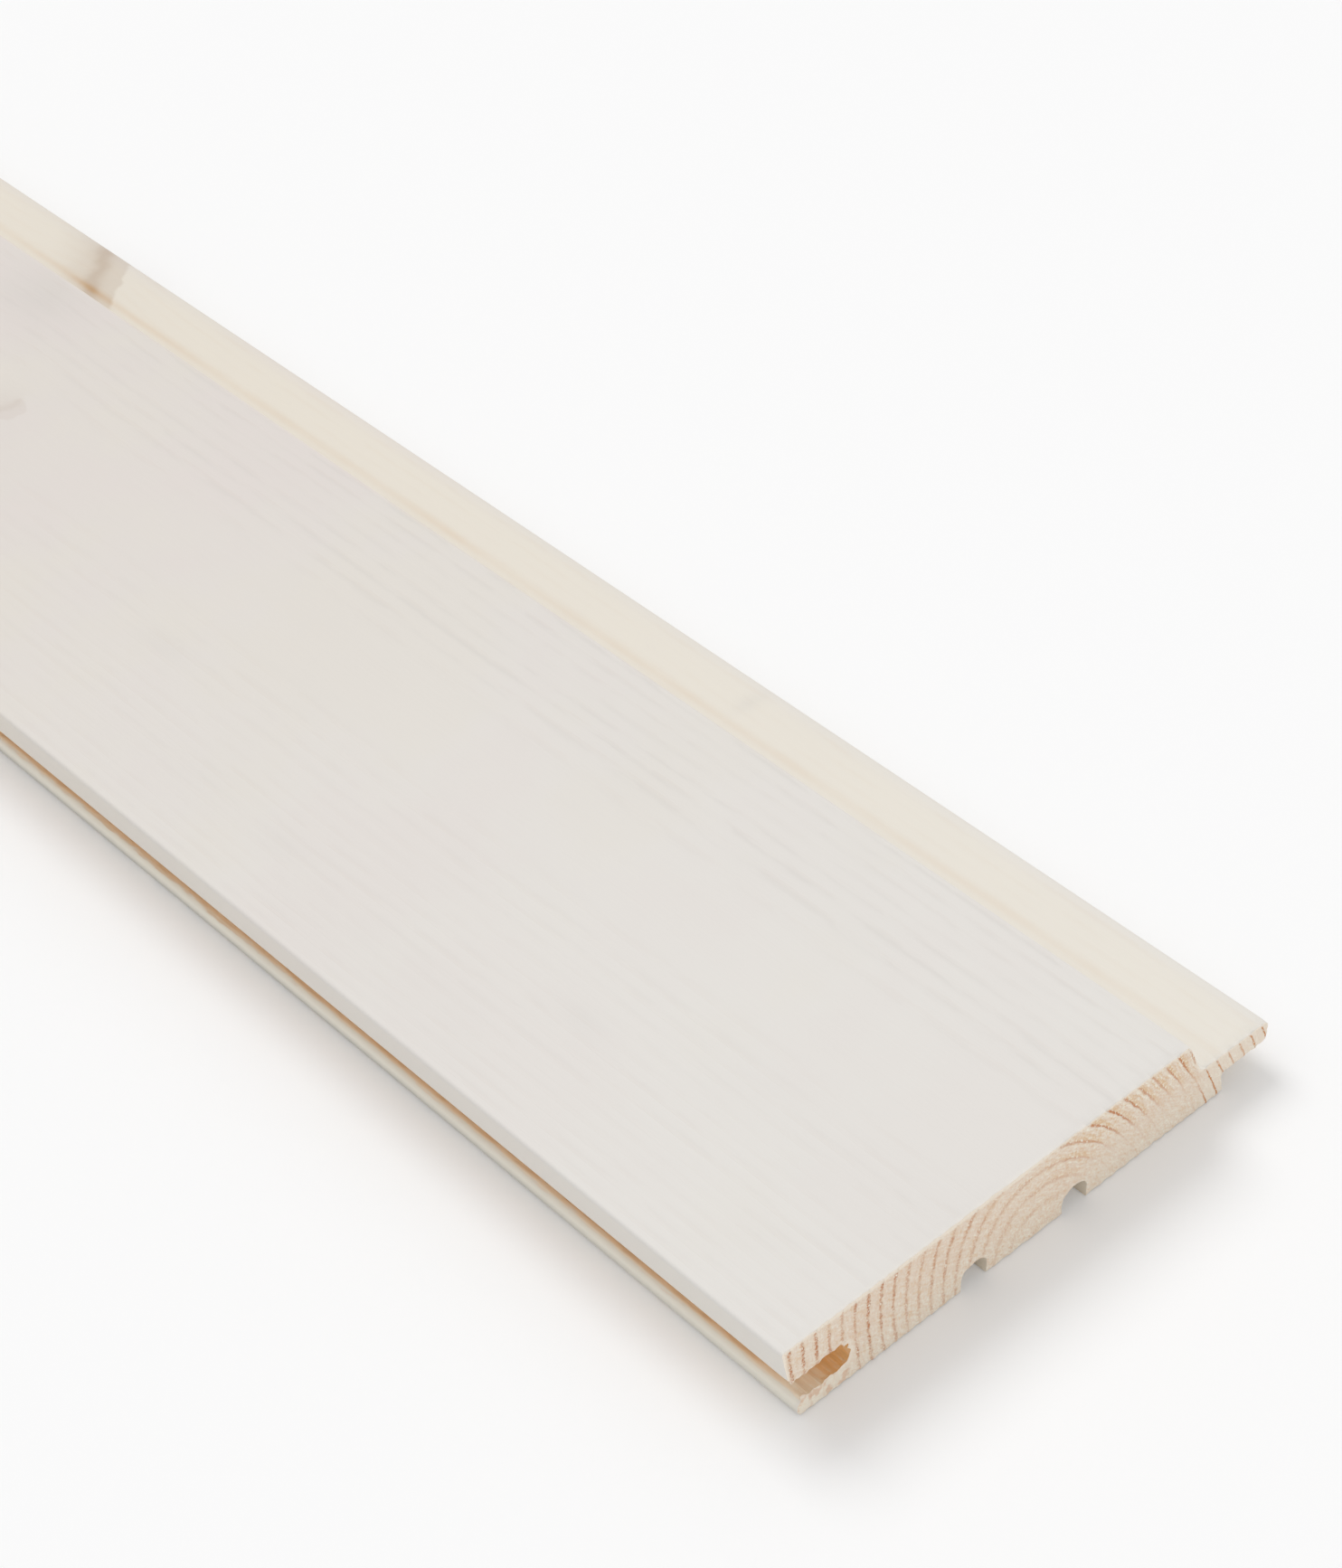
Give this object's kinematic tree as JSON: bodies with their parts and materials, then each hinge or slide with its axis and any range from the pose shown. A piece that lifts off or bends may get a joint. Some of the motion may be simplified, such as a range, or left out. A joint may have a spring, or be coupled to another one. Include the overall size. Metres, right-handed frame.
{
  "type": "tongue and groove board",
  "caption": "Softwood panel board with a translucent white face, a tongue under a slanted front shoulder, a groove with a set-back lower lip, and relief kerfs in the back.",
  "frame": {"origin": "middle of the board's length and width, on the plane of its back", "axes": "+X along the board, +Y from the groove edge to the tongue edge, +Z from the back to the face"},
  "size_m": [1.8, 0.0948, 0.015],
  "materials": {
    "board": "planed softwood with a thin translucent white coat on the face, bare on the back, in the groove and at the sawn ends"
  },
  "bodies": {
    "root": {"board": "board"}
  },
  "joints": []
}
